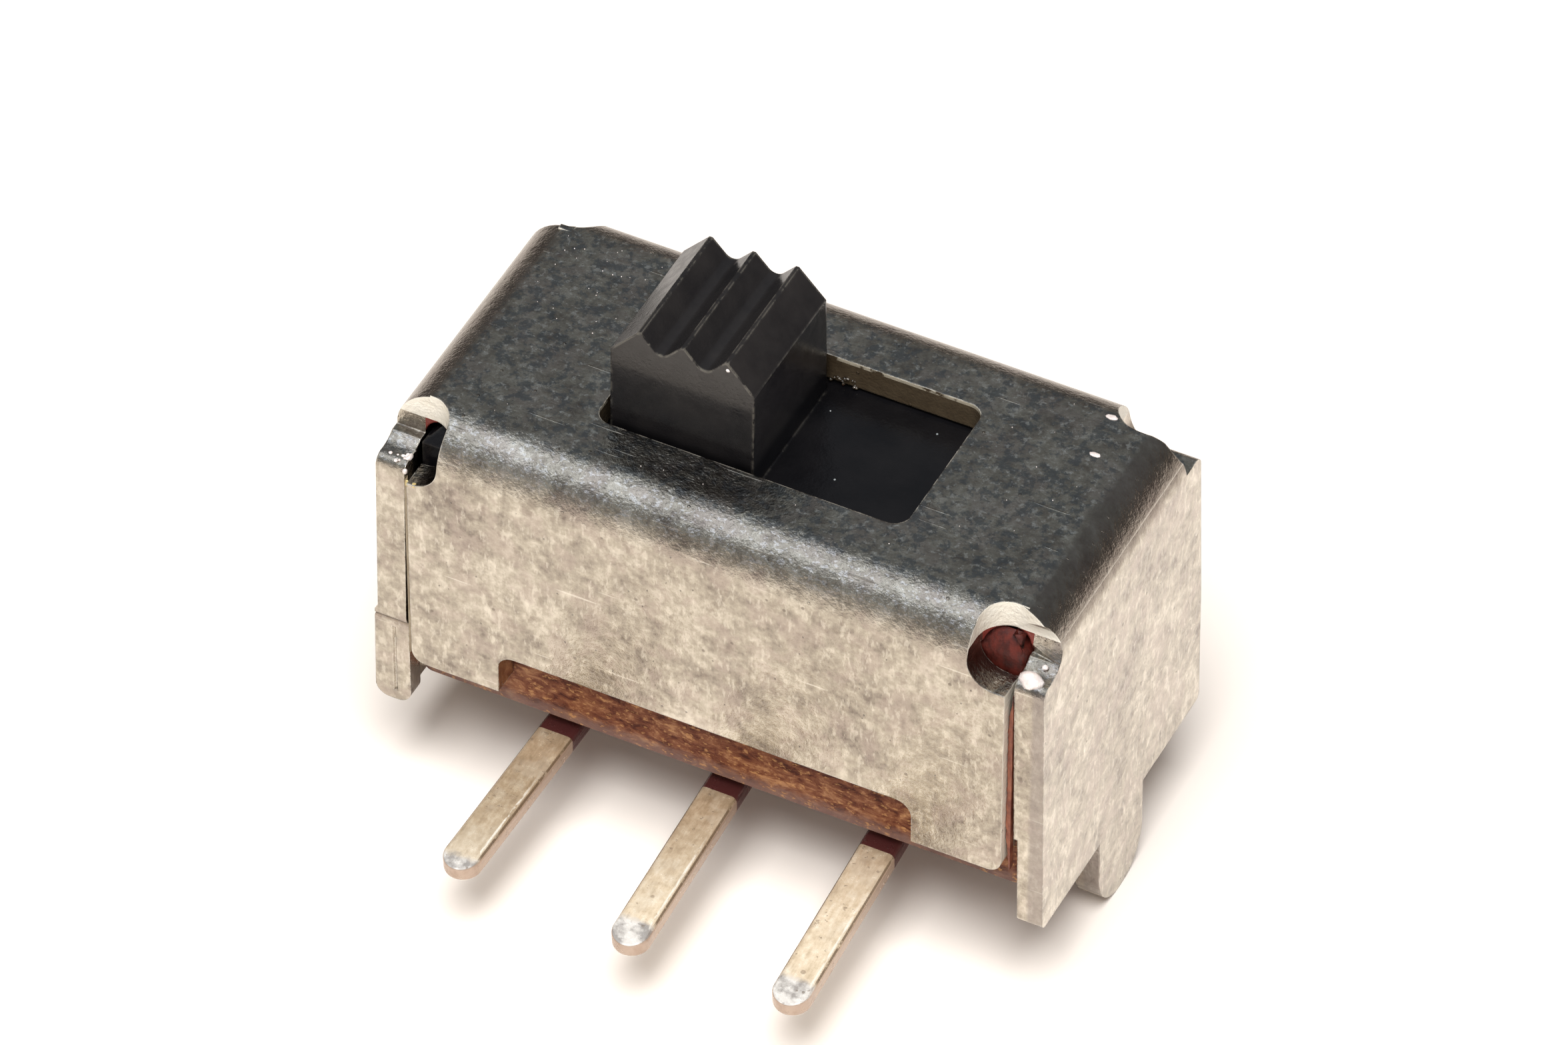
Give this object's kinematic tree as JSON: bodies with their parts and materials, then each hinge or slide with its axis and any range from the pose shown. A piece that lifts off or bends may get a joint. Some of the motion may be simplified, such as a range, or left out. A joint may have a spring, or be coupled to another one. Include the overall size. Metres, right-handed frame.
{
  "type": "slide switch",
  "caption": "Miniature slide switch: a folded sheet-metal cover with a ribbed black sliding knob, a terminal board and flat terminals bent forward.",
  "frame": {"origin": "the middle of the slot in the cover's top face, level with that face, which is where a panel's window is centred", "axes": "+X along the slot and the slider's travel, +Z out of the top face along the knob, and the terminals point along -Y"},
  "size_m": [0.0108, 0.0081, 0.0088],
  "materials": {
    "tinned_steel": "tin-plated steel, worn and finely scratched",
    "phenolic": "matt brown laminated phenolic",
    "tinned_brass": "tinned, with a soft shine",
    "spring_bronze": "bare spring bronze",
    "black_plastic": "moulded black plastic with a soft shine"
  },
  "bodies": {
    "switch_body": {"cover": "tinned_steel", "terminal_board": "phenolic", "terminal_left": "tinned_brass", "terminal_middle": "tinned_brass", "terminal_right": "tinned_brass"},
    "slider": {"slider": "black_plastic", "contact_clip": "spring_bronze"}
  },
  "joints": [
    {"name": "slider_travel", "type": "slide", "parent": "switch_body", "child": "slider", "axis": [1, 0, 0], "range_m": [0, 0.00225]}
  ]
}
